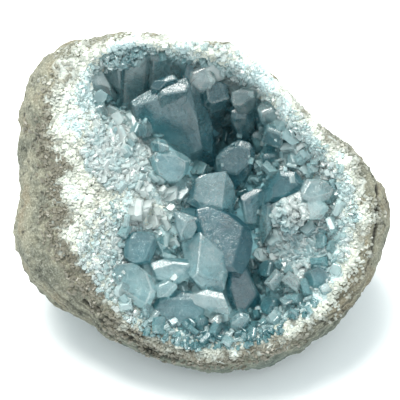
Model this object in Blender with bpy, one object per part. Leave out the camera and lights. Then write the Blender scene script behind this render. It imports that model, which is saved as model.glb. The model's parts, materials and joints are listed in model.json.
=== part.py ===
# Celestite geode: one broken limestone nodule whose hollow is lined with blue crystals.
# Everything is first placed on the face, the plane of the broken side: across to the right, up along the
# face, and out of the rock. The face frame then leans back and stands the nodule on its flat spot.

import math
import random

import bmesh
import bpy
from mathutils import Matrix, Vector, noise
from mathutils.bvhtree import BVHTree

MM = 0.001

# Where the middle of the face stands, and how far the face leans back from lying flat.
FACE_CENTRE = Vector((0.0, -4.2, 45.0)) * MM
FACE_LEAN = math.radians(40)

# Outline of the nodule seen square on to its face: radius in mm at every 15 degrees,
# from the right side round over the top.
OUTLINE = (
    58.8, 51.6, 45.5, 43.5, 44.9, 49.3, 50.7, 54.7, 60.3, 66.5, 65.0, 59.5,
    57.8, 61.0, 57.7, 52.5, 51.2, 51.7, 52.9, 54.2, 54.8, 56.6, 57.5, 59.6,
)
# The broken face meets the rind at a rim. Share of the outline radius where it runs, at every 30 degrees.
RIM_SHARE = (0.88, 0.93, 0.96, 0.95, 0.92, 0.84, 0.70, 0.74, 0.84, 0.88, 0.90, 0.88)
# How far the rim stands out of the face plane in mm, at every 30 degrees.
RIM_HEIGHT = (16.0, 18.0, 18.0, 17.0, 17.0, 18.0, 17.0, 15.0, 13.0, 12.0, 13.0, 15.0)
FACE_DISH = 0.22
BACK_DEPTH = 50.0
BACK_ROUNDNESS = 1.8
BACK_SKEW = 0.003
NODULE_SUBDIVISIONS = 5
NODULE_THINNING = 0.41
# Swells of the surface: height in mm, size of the lumps in mm, and a shift of the pattern.
SWELLS = ((1.5, 19.0, 3.1), (1.0, 8.5, 7.7), (0.5, 4.2, 1.3))
# Beds of the limestone: height and spacing of their ledges in mm, rise for each mm across, and how far
# below the middle of the face they reach their full height. They end short of the broken face.
LEDGE_RELIEF = 0.9
LEDGE_SPACING = 11.0
LEDGE_RISE = 0.12
LEDGE_FADE = 30.0
LEDGE_END = 0.3

# Mouth of the hollow about its own middle: radius in mm at every 15 degrees.
MOUTH_CENTRE = (4.1, 3.8)
MOUTH = (
    39.7, 36.1, 32.1, 30.2, 33.4, 37.0, 40.6, 44.6, 50.6, 53.5, 41.2, 28.3,
    23.7, 27.9, 36.5, 45.5, 46.6, 46.0, 47.8, 49.0, 48.6, 47.6, 45.0, 41.8,
)
HOLLOW_SUBDIVISIONS = 4
HOLLOW_THINNING = 0.5
HOLLOW_SWELL = (0.9, 6.5, 5.2)
WALL_STEEPNESS = 8
MOUTH_EASE = 0.92
LID_HEIGHT = 30.0
LID_DOME = 4.0
SHELF_HEIGHT = 8.0
# Each deep place of the hollow: across, up, half-width across, half-width up, depth, all in mm.
BASINS = (
    (-19.5, 36.0, 12.5, 8.0, 17.0),
    (8.0, 23.5, 10.5, 10.5, 25.0),
    (6.5, 1.0, 9.5, 12.5, 15.0),
    (15.5, -25.0, 7.5, 11.0, 15.0),
)

# The skin that carries the crystals, and the clearances between it and the rock, in mm.
SKIN_GAP = 0.3
ROOT_GAP = 0.7
SKIN_INSET = 2.4
SKIN_RIM_DROP = 0.25
# How deep a crystal's foot is sunk past the wall. It is felt for at the middle and near the four corners
# of its section, a share of the width and thickness off the axis and a little behind the tip.
ROOT = 2.5
FOOT_CORNER = 0.35
FOOT_SETBACK = 0.2
LONGEST_CRYSTAL = 40.0
# Rays that look for a surface start this far off.
FAR = 120.0

# Large crystals by hand. Tip on the face (across, up, out), lean (across and up for each unit out),
# width, thickness, turn of the width about the crystal's length in degrees, and how far the ridge of
# the chisel end sits off the middle as a share of the thickness.
LARGE_CRYSTALS = {
    "upper_block": ((-12.0, 37.0, 7.0), (-0.30, 1.00), 18.5, 11.0, 6, -0.25),
    "back_slab": ((-20.0, 42.5, 1.0), (0.15, 0.80), 14.0, 8.0, -12, 0.0),
    "pale_blade": ((-33.0, 38.5, 11.0), (-0.20, 0.25), 9.5, 4.5, -48, 0.2),
    "sky_tongue": ((-1.0, 39.5, 10.0), (0.10, 0.30), 7.0, 6.0, 10, 0.0),
    "hanging_tongue": ((3.6, 31.0, 7.0), (0.20, -0.55), 6.0, 5.0, 0, 0.1),
    "right_lobe_upper": ((14.0, 32.5, 9.0), (-0.30, -0.30), 9.5, 7.0, -8, 0.0),
    "right_lobe_lower": ((12.5, 27.0, 3.0), (-0.25, -0.45), 8.0, 6.0, 12, 0.0),
    "grey_block": ((12.6, 15.0, -3.0), (0.10, 0.35), 11.5, 10.0, -14, 0.1),
    "grey_side": ((6.5, 13.0, -8.0), (-0.15, 0.25), 5.5, 6.0, 30, 0.0),
    "milky_crystal": ((3.4, 5.5, 4.0), (0.00, 0.40), 14.5, 10.0, -6, 0.15),
    "dome_crystal": ((7.6, -8.5, 10.5), (0.22, 0.28), 17.0, 15.0, -38, 0.3),
    "dome_shoulder": ((-4.0, -4.5, 9.0), (-0.20, 0.35), 8.0, 8.0, -20, 0.0),
    "front_point": ((0.8, -17.5, 13.5), (0.12, 0.10), 13.0, 12.0, -50, 0.1),
    "left_round": ((-4.5, -7.3, 14.0), (-0.05, 0.25), 7.0, 6.5, 20, 0.0),
    "stripe_crystal": ((-19.5, -14.5, 15.5), (0.05, 0.15), 9.5, 8.0, 84, 0.05),
    "sky_block": ((-21.5, -26.5, 16.0), (0.12, -0.25), 14.0, 14.5, -30, 0.3),
    "teal_face": ((-10.0, -35.5, 12.5), (0.10, -0.45), 13.0, 10.0, 14, 0.3),
    "pale_oval": ((-11.2, -27.0, 16.0), (0.10, -0.10), 7.5, 5.5, 6, 0.0),
    "mid_facet": ((-10.5, -21.5, 14.0), (0.20, 0.10), 11.0, 9.0, 34, 0.2),
    "pale_wedge": ((4.2, -32.0, 14.5), (0.35, -0.30), 10.5, 5.5, -42, 0.1),
    "cream_chip": ((4.6, -36.7, 13.0), (0.10, -0.20), 4.5, 3.5, 10, 0.0),
    "lower_block": ((12.0, -38.0, 11.5), (0.10, -0.25), 6.5, 6.5, 20, 0.1),
    "lower_round": ((8.0, -43.0, 11.0), (0.00, -0.45), 11.0, 7.0, -8, 0.0),
    "deep_plate": ((13.5, -27.5, 3.0), (0.15, 0.10), 10.0, 12.0, 12, 0.2),
    "dark_prism": ((26.5, 5.8, 12.0), (0.40, 0.25), 11.0, 8.0, 18, 0.2),
    "thin_plate": ((20.8, -3.5, 7.5), (0.10, 0.20), 15.0, 3.4, 82, 0.0),
    "deep_right": ((16.2, -1.0, -1.0), (-0.10, 0.25), 9.0, 10.0, -10, 0.1),
    "rim_block": ((35.5, 2.5, 16.5), (0.15, 0.15), 9.5, 8.5, -24, 0.1),
    "rim_slab": ((28.0, 0.8, 15.0), (0.10, 0.10), 11.5, 5.5, 8, 0.2),
    "round_white": ((35.8, -3.0, 16.5), (0.10, -0.10), 8.0, 6.0, 14, 0.0),
    "glitter_upper": ((27.5, -5.0, 14.5), (0.05, 0.05), 6.5, 6.0, 40, 0.0),
    "glitter_left": ((25.0, -15.0, 12.5), (-0.10, 0.05), 6.5, 6.0, -28, 0.1),
    "glitter_right": ((33.0, -15.5, 14.5), (0.10, 0.00), 7.0, 6.0, 32, 0.1),
    "cream_left": ((22.5, -24.0, 12.0), (-0.10, 0.15), 6.0, 4.0, 50, 0.0),
    "cream_right": ((28.5, -24.5, 13.5), (0.05, 0.15), 6.0, 4.0, -38, 0.0),
    "grey_clear": ((37.5, -24.0, 13.5), (0.10, 0.05), 10.5, 7.5, -22, 0.2),
    "glass_cube_left": ((27.5, -31.5, 12.5), (0.00, -0.10), 5.0, 4.5, 26, 0.0),
    "glass_cube_right": ((32.5, -33.0, 12.5), (0.10, -0.10), 5.0, 4.5, -16, 0.0),
    "channel_upper": ((21.5, -21.0, 6.0), (0.05, 0.10), 5.5, 7.0, 78, 0.0),
    "channel_lower": ((22.0, -33.0, 8.0), (0.05, -0.05), 6.0, 6.5, 64, 0.0),
    "round_upper": ((21.3, 14.8, 4.0), (-0.10, 0.15), 5.5, 8.5, 10, 0.0),
    "lip_slab": ((-9.7, 11.5, 10.0), (0.25, 0.10), 13.0, 8.5, -28, 0.2),
    "lip_facet": ((-32.5, 29.5, 13.5), (0.15, 0.10), 5.5, 6.5, 20, 0.0),
    "lip_round_left": ((-18.0, 23.5, 12.0), (0.10, 0.20), 5.0, 5.0, 0, 0.0),
    "lip_round_right": ((-13.5, 18.8, 11.5), (0.15, 0.15), 5.0, 5.0, 30, 0.0),
    "right_lip_upper": ((20.3, 28.5, 12.5), (-0.15, 0.05), 6.0, 7.0, 16, 0.0),
    "right_lip_lower": ((22.5, 21.5, 13.5), (-0.10, 0.05), 6.5, 7.5, -20, 0.1),
    "top_left_patch": ((-27.0, 46.0, 14.0), (-0.05, 0.10), 9.0, 7.0, 28, 0.1),
    "top_patch": ((-20.5, 49.5, 14.0), (0.05, 0.15), 7.5, 6.0, -24, 0.1),
}

# Small crystals that fill the rest of the wall. They keep off a large one by a share of its size, and lean
# sideways and outward by these shares of the wall's normal.
SMALL_SEED = 41
FILL_COUNT = 56
FILL_TRIES = 4000
FILL_SPACING = 6.0
FILL_REACH = 0.9
FILL_CLEARANCE = 0.42
FILL_WIDTH = (3.6, 6.4)
FILL_STAND = (3.0, 6.5)
FILL_SIDEWAYS = 0.4
FILL_OUTWARD = 0.55
FILL_RIDGE = 0.2
SMALL_THICKNESS = (0.6, 0.95)

# Crystals along the edge of the mouth, standing a little proud of the broken face.
RIM_COUNT = 32
RIM_WIDTH = (3.6, 6.2)
RIM_STAND = (0.6, 3.2)
RIM_PLACE = (0.90, 0.98)
RIM_DRIFT = 0.3
RIM_SIDEWAYS = 0.4

# Chisel end of a crystal: slope of its two broad faces and of its two narrow ones, where the narrow ones
# start as a share of the width, how much of the ridge is blunt, and how far the long edges are cut back.
BROAD_SLOPE = math.radians(47)
NARROW_SLOPE = math.radians(58)
NARROW_START = 0.3
BLUNT_RIDGE = 0.06
CORNER_TRIM = 0.16
# Narrower crystals have no narrow end faces, and thinner ones keep square edges.
LEAST_FACETED = 6.6
LEAST_TRIMMED = 7.0

# Furrows worn into the rock, each a radius in mm and a line of points on the face (across, up). The middle
# of a furrow or a pit lies outside the surface by a share of its radius.
FURROWS = {
    "rind_crack": (0.9, ((-33, 7), (-36, 4), (-37.5, -1), (-38.5, -8.5), (-40, -13.5), (-43, -17.5))),
    "low_bed": (1.0, ((-37, -31), (-29, -36.5), (-19.5, -42), (-10, -45.5), (1, -47.5))),
    "lower_bed": (0.8, ((-32, -36.5), (-24.5, -42), (-16.5, -45.8), (-7, -48.2))),
    "low_cleft": (1.4, ((-19.5, -46), (-14, -48.2), (-8, -49.5))),
    "right_groove": (1.1, ((55, 5.5), (55, -4), (54, -12), (52.5, -19))),
}
FURROW_SIDES = 3

# Pits in the rind: direction from the middle of the nodule (across, up, out) and radius in mm.
PITS = (
    ((-0.86, -0.20, 0.20), 2.6), ((-0.80, -0.50, 0.05), 2.2), ((-0.90, 0.25, 0.10), 2.4),
    ((-0.62, 0.45, -0.60), 3.4), ((-0.30, -0.10, -0.95), 3.0), ((0.35, 0.40, -0.85), 3.6),
    ((0.75, -0.15, -0.55), 3.0), ((0.93, -0.28, 0.08), 2.2), ((0.10, 0.75, -0.60), 2.8),
    ((-0.45, -0.65, -0.40), 2.6), ((0.55, 0.70, -0.20), 2.4), ((0.50, -0.68, -0.25), 2.4),
)
PIT_RISE = 0.35
FURROW_RISE = 0.25

CUTTER_SIZE = 0.4


def clear_scene():
    """Remove whatever the file opened with."""
    for old in list(bpy.data.objects):
        bpy.data.objects.remove(old, do_unlink=True)


def new_collection(name, hidden=False):
    """A collection of the scene, left out of renders when it only holds helpers."""
    made = bpy.data.collections.new(name)
    made.hide_render = hidden
    bpy.context.scene.collection.children.link(made)
    return made


def new_material(name, colour, roughness, transmission=0.0):
    """A plain Principled material."""
    made = bpy.data.materials.new(name)
    made.use_nodes = True
    shader = made.node_tree.nodes["Principled BSDF"]
    shader.inputs["Base Color"].default_value = (*colour, 1.0)
    shader.inputs["Roughness"].default_value = roughness
    shader.inputs["Metallic"].default_value = 0.0
    shader.inputs["Transmission Weight"].default_value = transmission
    return made


def new_object(name, bm, collection, parent=None):
    """An object made from a bmesh, with its faces turned outward."""
    bm.normal_update()
    bmesh.ops.recalc_face_normals(bm, faces=bm.faces)
    mesh = bpy.data.meshes.new(name)
    bm.to_mesh(mesh)
    bm.free()
    made = bpy.data.objects.new(name, mesh)
    made.parent = parent
    collection.objects.link(made)
    return made


def as_helper(helper):
    """Mark an object as a cutter or a guide."""
    helper.hide_render = True
    helper.display_type = "WIRE"
    return helper


def ring_value(values, angle):
    """Smooth closed curve through evenly spaced values, read at an angle in radians."""
    count = len(values)
    place = angle / math.tau % 1.0 * count
    first = int(place) % count
    share = place - int(place)
    before, start, end, after = (values[(first + step) % count] for step in (-1, 0, 1, 2))
    bend = 2 * before - 5 * start + 4 * end - after
    twist = 3 * start - before - 3 * end + after
    return start + 0.5 * share * (end - before + share * (bend + share * twist))


def lumps(point, size, shift):
    """Smooth noise between about -1 and 1, with lumps of the given size in mm."""
    return noise.noise(point / size + Vector((shift, 2 * shift, -shift)))


def ledge(place):
    """Relief of the limestone's beds, which run level round the lower side of the nodule."""
    low_side = min(1.0, max(0.0, -place.y / LEDGE_FADE))
    level = place.z + LEDGE_RISE * place.x
    return LEDGE_RELIEF * low_side * math.sin(math.tau * level / LEDGE_SPACING)


def nodule_point(direction):
    """Place on the nodule's surface, in mm on the face frame, for a direction from its middle."""
    angle = math.atan2(direction.y, direction.x)
    share = min(1.0, math.hypot(direction.x, direction.y))
    reach = ring_value(OUTLINE, angle)
    rim = ring_value(RIM_SHARE, angle)
    height = ring_value(RIM_HEIGHT, angle)
    if direction.z < 0:
        depth = BACK_DEPTH * (1 + BACK_SKEW * share * reach * math.sin(angle))
        out = -depth * math.sqrt(max(0.0, 1 - share**BACK_ROUNDNESS))
    elif share > rim:
        out = height * math.sqrt(max(0.0, 1 - ((share - rim) / (1 - rim)) ** 2))
    else:
        out = height - FACE_DISH * (rim - share) * reach
    place = Vector((share * reach * math.cos(angle), share * reach * math.sin(angle), out))
    swell = sum(tall * lumps(place, size, shift) for tall, size, shift in SWELLS)
    if direction.z < LEDGE_END:
        swell += ledge(place)
    return place + direction * swell


def bed_height(across, up):
    """Height of the hollow's floor at a place on the face."""
    height = SHELF_HEIGHT
    for middle_across, middle_up, wide, tall, depth in BASINS:
        off = ((across - middle_across) / wide) ** 2 + ((up - middle_up) / tall) ** 2
        height -= depth * math.exp(-off / 2)
    return height


def hollow_point(direction, inset=0.0):
    """Place on the plug that is taken out of the nodule to make the hollow, or on one inset by so many mm."""
    angle = math.atan2(direction.y, direction.x)
    share = min(1.0, math.hypot(direction.x, direction.y))
    reach = (ring_value(MOUTH, angle) / MOUTH_EASE - inset) * share
    across = MOUTH_CENTRE[0] + reach * math.cos(angle)
    up = MOUTH_CENTRE[1] + reach * math.sin(angle)
    if direction.z >= 0:
        return Vector((across, up, LID_HEIGHT + LID_DOME * direction.z))
    drop = (LID_HEIGHT - inset - bed_height(across, up)) * math.sqrt(max(0.0, 1 - share**WALL_STEEPNESS))
    place = Vector((across, up, LID_HEIGHT - drop))
    tall, size, shift = HOLLOW_SWELL
    return place + Vector((0, 0, tall * lumps(place, size, shift)))


def evaluated_mesh(source):
    """The mesh that an object's modifiers give, on the object's own frame."""
    bpy.context.view_layer.update()
    graph = bpy.context.evaluated_depsgraph_get()
    return bpy.data.meshes.new_from_object(source.evaluated_get(graph))


def shaped_ball(name, subdivisions, thinning, shape, collection, parent):
    """An icosphere whose points go where shape puts each direction, thinned where it is flat."""
    bm = bmesh.new()
    bmesh.ops.create_icosphere(bm, subdivisions=subdivisions, radius=1.0)
    for vert in bm.verts:
        vert.co = shape(vert.co.normalized()) * MM
    made = new_object(name, bm, collection, parent)
    decimate = made.modifiers.new("thinning", "DECIMATE")
    decimate.ratio = thinning
    made.data = evaluated_mesh(made)
    made.modifiers.remove(decimate)
    return made


def offset_copy(source, name, distance, collection):
    """A helper like source with every point moved outward by distance in mm."""
    bm = bmesh.new()
    bm.from_mesh(source.data)
    bm.normal_update()
    moves = [vert.normal * distance * MM for vert in bm.verts]
    for vert, move in zip(bm.verts, moves):
        vert.co += move
    return as_helper(new_object(name, bm, collection, source.parent))


def boolean(target, operation, cutter):
    """Add a Boolean modifier, whose cutter is an object or a collection."""
    made = target.modifiers.new(f"{operation.lower()} {cutter.name}", "BOOLEAN")
    made.operation = operation
    made.solver = "EXACT"
    if isinstance(cutter, bpy.types.Collection):
        made.operand_type = "COLLECTION"
        made.collection = cutter
    else:
        made.object = cutter
    return made


def surface_of(source):
    """A tree that rays are cast on, from an object's finished mesh."""
    bm = bmesh.new()
    bm.from_mesh(evaluated_mesh(source))
    tree = BVHTree.FromBMesh(bm)
    bm.free()
    return tree


def seat(tree, across, up):
    """The place straight under a point of the face, and the surface's normal there."""
    start = Vector((across, up, FAR)) * MM
    place, normal, _, _ = tree.ray_cast(start, Vector((0, 0, -1)))
    return place, normal


def inset_point(direction):
    """Place on the inner side of the skin."""
    return hollow_point(direction, SKIN_INSET)


def trim(bm, point, normal):
    """Cut away what lies past a plane and close the cut."""
    parts = bm.verts[:] + bm.edges[:] + bm.faces[:]
    cut = bmesh.ops.bisect_plane(
        bm, geom=parts, dist=1e-7, plane_co=point, plane_no=normal, clear_outer=True
    )
    edges = [piece for piece in cut["geom_cut"] if isinstance(piece, bmesh.types.BMEdge)]
    bmesh.ops.holes_fill(bm, edges=edges)


def crystal_shape(width, thickness, length, ridge):
    """A crystal with a chisel end at the origin, growing back along -Z. Sizes in mm."""
    bm = bmesh.new()
    bmesh.ops.create_cube(bm, size=1.0)
    bmesh.ops.translate(bm, verts=bm.verts, vec=(0, 0, -0.5))
    bmesh.ops.scale(bm, verts=bm.verts, vec=Vector((width, thickness, length)) * MM)
    crest = Vector((0, ridge * thickness, 0)) * MM
    for side in (-1, 1):
        broad = Vector((0, side * math.sin(BROAD_SLOPE), math.cos(BROAD_SLOPE)))
        trim(bm, crest, broad)
        if width > LEAST_FACETED:
            narrow = Vector((side * math.sin(NARROW_SLOPE), 0, math.cos(NARROW_SLOPE)))
            trim(bm, Vector((side * width * NARROW_START, 0, 0)) * MM, narrow)
        if thickness > LEAST_TRIMMED:
            corner = Vector((side * width / 2, thickness / 2, 0)) * MM
            slant = Vector((side, 1, 0)).normalized()
            trim(bm, corner - slant * CORNER_TRIM * thickness * MM, slant)
    trim(bm, Vector((0, 0, -BLUNT_RIDGE * thickness)) * MM, Vector((0, 0, 1)))
    return bm


def crystal_turn(axis, turn):
    """Rotation whose Z runs along axis and whose X starts across the face, turned by degrees."""
    across = Vector((math.cos(math.radians(turn)), math.sin(math.radians(turn)), 0))
    third = axis.cross(across).normalized()
    first = third.cross(axis).normalized()
    return Matrix((first, third, axis)).transposed().to_4x4()


def root_depth(tree, tip, turn, width, thickness):
    """How far behind its tip a crystal's whole section has met the wall, in mm."""
    axis = turn.col[2].to_3d()
    depths = []
    for across, along in ((0, 0), (1, 1), (1, -1), (-1, 1), (-1, -1)):
        section = Vector((across * width, along * thickness)) * FOOT_CORNER
        corner = turn.to_3x3() @ Vector((*section, -FOOT_SETBACK * thickness)) * MM
        place, normal, _, _ = tree.ray_cast(tip + corner, -axis)
        if place is not None and normal.dot(axis) > 0:
            depths.append((place - tip).dot(-axis) / MM)
    return min(LONGEST_CRYSTAL, max(depths, default=thickness) + ROOT)


def add_crystal(name, tree, tip, axis, width, thickness, turn, ridge, collection, parent):
    """Grow one crystal from the wall to its tip, given in metres on the face frame."""
    turned = crystal_turn(axis.normalized(), turn)
    length = root_depth(tree, tip, turned, width, thickness)
    bm = crystal_shape(width, thickness, length, ridge)
    bm.transform(Matrix.Translation(tip) @ turned)
    return as_helper(new_object(name, bm, collection, parent))


def add_large_crystals(tree, collection, parent):
    """Every crystal of the hand list."""
    for name, (tip, lean, width, thickness, turn, ridge) in LARGE_CRYSTALS.items():
        axis = Vector((lean[0], lean[1], 1.0))
        add_crystal(name, tree, Vector(tip) * MM, axis, width, thickness, turn, ridge, collection, parent)


def fill_places(rng):
    """Places on the face for small crystals, apart from each other and clear of large ones."""
    places = []
    for _ in range(FILL_TRIES):
        angle = rng.uniform(0, math.tau)
        reach = math.sqrt(rng.random()) * FILL_REACH * ring_value(MOUTH, angle)
        place = Vector((MOUTH_CENTRE[0] + reach * math.cos(angle), MOUTH_CENTRE[1] + reach * math.sin(angle)))
        near_large = any(
            (place - Vector(tip[:2])).length < FILL_CLEARANCE * max(width, thickness)
            for tip, _, width, thickness, _, _ in LARGE_CRYSTALS.values()
        )
        if near_large or any((place - other).length < FILL_SPACING for other in places):
            continue
        places.append(place)
        if len(places) == FILL_COUNT:
            break
    return places


def add_fill_crystals(tree, collection, parent):
    """Small crystals over the rest of the wall, each leaning between the wall's normal and out."""
    rng = random.Random(SMALL_SEED)
    for number, place in enumerate(fill_places(rng)):
        foot, normal = seat(tree, place.x, place.y)
        sideways = [rng.uniform(-FILL_SIDEWAYS, FILL_SIDEWAYS) for _ in range(2)]
        axis = (normal + Vector((*sideways, FILL_OUTWARD))).normalized()
        width = rng.uniform(*FILL_WIDTH)
        thickness = width * rng.uniform(*SMALL_THICKNESS)
        tip = foot + axis * rng.uniform(*FILL_STAND) * MM
        turn = rng.uniform(0, 180)
        ridge = rng.uniform(-FILL_RIDGE, FILL_RIDGE)
        add_crystal(
            f"fill_{number:03d}", tree, tip, axis, width, thickness, turn, ridge, collection, parent
        )


def add_rim_crystals(tree, whole, collection, parent):
    """Crystals that crowd the edge of the mouth and overlap the broken face."""
    rng = random.Random(SMALL_SEED)
    for number in range(RIM_COUNT):
        angle = math.tau * (number + rng.uniform(-RIM_DRIFT, RIM_DRIFT)) / RIM_COUNT
        reach = ring_value(MOUTH, angle) * rng.uniform(*RIM_PLACE)
        across = MOUTH_CENTRE[0] + reach * math.cos(angle)
        up = MOUTH_CENTRE[1] + reach * math.sin(angle)
        brim, _ = seat(whole, across, up)
        tip = brim + Vector((0, 0, rng.uniform(*RIM_STAND))) * MM
        sideways = [rng.uniform(-RIM_SIDEWAYS, RIM_SIDEWAYS) for _ in range(2)]
        axis = Vector((*sideways, 1.0))
        width = rng.uniform(*RIM_WIDTH)
        thickness = width * rng.uniform(*SMALL_THICKNESS)
        turn = rng.uniform(0, 180)
        add_crystal(
            f"rim_{number:02d}", tree, tip, axis, width, thickness, turn, 0.0, collection, parent
        )


def add_furrow(name, radius, points, tree, collection, parent):
    """A worn line in the rock, cut by a thin tube laid along its surface."""
    curve = bpy.data.curves.new(name, "CURVE")
    curve.dimensions = "3D"
    curve.bevel_depth = radius * MM
    curve.bevel_resolution = FURROW_SIDES - 2
    curve.use_fill_caps = True
    spline = curve.splines.new("POLY")
    spline.points.add(len(points) - 1)
    for point, (across, up) in zip(spline.points, points):
        place, normal = seat(tree, across, up)
        point.co = (*(place + normal * FURROW_RISE * radius * MM), 1.0)
    drawn = bpy.data.objects.new(name, curve)
    collection.objects.link(drawn)
    bm = bmesh.new()
    bm.from_mesh(evaluated_mesh(drawn))
    bpy.data.objects.remove(drawn, do_unlink=True)
    bmesh.ops.remove_doubles(bm, verts=bm.verts, dist=1e-6)
    return as_helper(new_object(f"{name}_cutter", bm, collection, parent))


def add_pit(number, direction, radius, tree, collection, parent):
    """A shallow round pit, cut by a ball that stands mostly outside the rock."""
    away = Vector(direction).normalized()
    place, normal, _, _ = tree.ray_cast(away * FAR * MM, -away)
    bm = bmesh.new()
    bmesh.ops.create_icosphere(bm, subdivisions=2, radius=radius * MM)
    bm.transform(Matrix.Translation(place + normal * PIT_RISE * radius * MM))
    return as_helper(new_object(f"pit_{number:02d}", bm, collection, parent))


def add_floor_cutter(collection):
    """The block that cuts the flat spot the nodule rests on."""
    bm = bmesh.new()
    bmesh.ops.create_cube(bm, size=CUTTER_SIZE)
    bm.transform(Matrix.Translation((0, 0, -CUTTER_SIZE / 2)))
    return as_helper(new_object("floor_cutter", bm, collection))


def largest_piece(bm):
    """Drop the chips that the rim has cut off from the main body."""
    bm.verts.ensure_lookup_table()
    left = set(bm.verts)
    groups = []
    while left:
        group = set()
        stack = [left.pop()]
        while stack:
            vert = stack.pop()
            group.add(vert)
            for edge in vert.link_edges:
                other = edge.other_vert(vert)
                if other in left:
                    left.remove(other)
                    stack.append(other)
        groups.append(group)
    groups.sort(key=len)
    for group in groups[:-1]:
        bmesh.ops.delete(bm, geom=list(group), context="VERTS")


def add_rock(face, parts, cutters):
    """The limestone nodule with its hollow, worn furrows, pits and flat spot."""
    rock = shaped_ball("matrix_rock", NODULE_SUBDIVISIONS, NODULE_THINNING, nodule_point, parts, face)
    whole = surface_of(rock)
    hollow = shaped_ball("hollow", HOLLOW_SUBDIVISIONS, HOLLOW_THINNING, hollow_point, cutters, face)
    as_helper(hollow)
    nodule = offset_copy(rock, "nodule", 0.0, cutters)
    wear = new_collection("wear", hidden=True)
    for name, (radius, points) in FURROWS.items():
        add_furrow(name, radius, points, whole, wear, face)
    for number, (direction, radius) in enumerate(PITS):
        add_pit(number, direction, radius, whole, wear, face)
    boolean(rock, "DIFFERENCE", hollow)
    boolean(rock, "DIFFERENCE", wear)
    boolean(rock, "DIFFERENCE", add_floor_cutter(cutters))
    rock.data.materials.append(new_material("limestone", (0.40, 0.40, 0.32), 0.9))
    rock.data.shade_flat()
    return rock, nodule, hollow, whole


def add_crust(face, parts, cutters, rock, nodule, hollow, whole):
    """The crystals and the thin skin that joins them, as one body that stays clear of the rock."""
    wall = surface_of(rock)
    crystals = new_collection("crystals", hidden=True)
    add_large_crystals(wall, crystals, face)
    add_fill_crystals(wall, crystals, face)
    add_rim_crystals(wall, whole, crystals, face)

    guard = offset_copy(nodule, "rock_guard", SKIN_GAP, cutters)
    boolean(guard, "DIFFERENCE", offset_copy(hollow, "root_limit", -ROOT_GAP, cutters))
    seed_name = next(iter(LARGE_CRYSTALS))
    seed_crystal = crystals.objects[seed_name]
    growth = as_helper(bpy.data.objects.new("growth", seed_crystal.data.copy()))
    growth.parent = face
    cutters.objects.link(growth)
    bpy.data.objects.remove(seed_crystal, do_unlink=True)
    boolean(growth, "UNION", crystals)
    boolean(growth, "DIFFERENCE", guard)

    skin = offset_copy(hollow, "skin", -SKIN_GAP, cutters)
    inside = shaped_ball("skin_inside", HOLLOW_SUBDIVISIONS, HOLLOW_THINNING, inset_point, cutters, face)
    boolean(skin, "DIFFERENCE", as_helper(inside))
    boolean(skin, "INTERSECT", offset_copy(nodule, "skin_limit", -SKIN_RIM_DROP, cutters))
    boolean(skin, "UNION", growth)

    bm = bmesh.new()
    bm.from_mesh(evaluated_mesh(skin))
    largest_piece(bm)
    crust = new_object("crystal_crust", bm, parts, face)
    crust.data.materials.append(new_material("celestite", (0.32, 0.47, 0.50), 0.12, 0.6))
    crust.data.shade_flat()
    return crust


def build():
    """Make the whole geode."""
    clear_scene()
    parts = new_collection("celestite_cluster")
    cutters = new_collection("cutters", hidden=True)
    face = bpy.data.objects.new("face_frame", None)
    face.location = FACE_CENTRE
    face.rotation_euler = (FACE_LEAN, 0, 0)
    parts.objects.link(face)
    bpy.context.view_layer.update()
    rock, nodule, hollow, whole = add_rock(face, parts, cutters)
    add_crust(face, parts, cutters, rock, nodule, hollow, whole)


build()
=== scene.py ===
import bpy
import bmesh
import json
import math
import random
from mathutils import Matrix, Vector, noise
from mathutils.bvhtree import BVHTree

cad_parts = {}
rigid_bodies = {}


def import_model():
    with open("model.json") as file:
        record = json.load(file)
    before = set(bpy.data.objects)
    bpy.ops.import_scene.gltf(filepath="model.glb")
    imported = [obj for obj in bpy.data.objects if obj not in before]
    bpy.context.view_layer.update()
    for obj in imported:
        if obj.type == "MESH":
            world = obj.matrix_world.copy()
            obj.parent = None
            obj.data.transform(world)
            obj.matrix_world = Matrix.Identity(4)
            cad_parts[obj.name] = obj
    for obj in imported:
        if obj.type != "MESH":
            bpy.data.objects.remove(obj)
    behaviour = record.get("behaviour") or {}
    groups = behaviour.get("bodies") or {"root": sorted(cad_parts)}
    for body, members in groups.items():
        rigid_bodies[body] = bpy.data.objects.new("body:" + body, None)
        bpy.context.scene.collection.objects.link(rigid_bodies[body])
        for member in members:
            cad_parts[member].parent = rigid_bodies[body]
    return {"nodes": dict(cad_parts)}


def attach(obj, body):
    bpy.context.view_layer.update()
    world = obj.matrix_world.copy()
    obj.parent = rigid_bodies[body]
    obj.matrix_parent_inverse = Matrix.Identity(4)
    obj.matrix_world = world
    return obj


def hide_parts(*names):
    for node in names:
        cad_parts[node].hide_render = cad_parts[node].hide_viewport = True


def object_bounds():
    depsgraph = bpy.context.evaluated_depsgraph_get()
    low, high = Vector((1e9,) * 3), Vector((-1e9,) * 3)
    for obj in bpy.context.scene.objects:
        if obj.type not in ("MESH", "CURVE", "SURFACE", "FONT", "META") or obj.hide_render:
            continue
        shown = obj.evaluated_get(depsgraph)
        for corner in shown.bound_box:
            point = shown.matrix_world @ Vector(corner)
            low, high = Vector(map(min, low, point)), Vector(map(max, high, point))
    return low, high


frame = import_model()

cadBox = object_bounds()
mm = 0.001
tiny = 0.000001
black, white = (0, 0, 0), (1, 1, 1)

# The broken side of the geode is a plane that leans back. Places on it are in mm: across, up, out.
face = {"centre": (0.0, -0.0042, 0.045), "leanDegrees": 40}
faceMatrix = Matrix.Translation(face["centre"]) @ Matrix.Rotation(math.radians(face["leanDegrees"]), 4, "X")
faceInverse = faceMatrix.inverted()
outward = faceMatrix.to_3x3() @ Vector((0, 0, 1))

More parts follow.
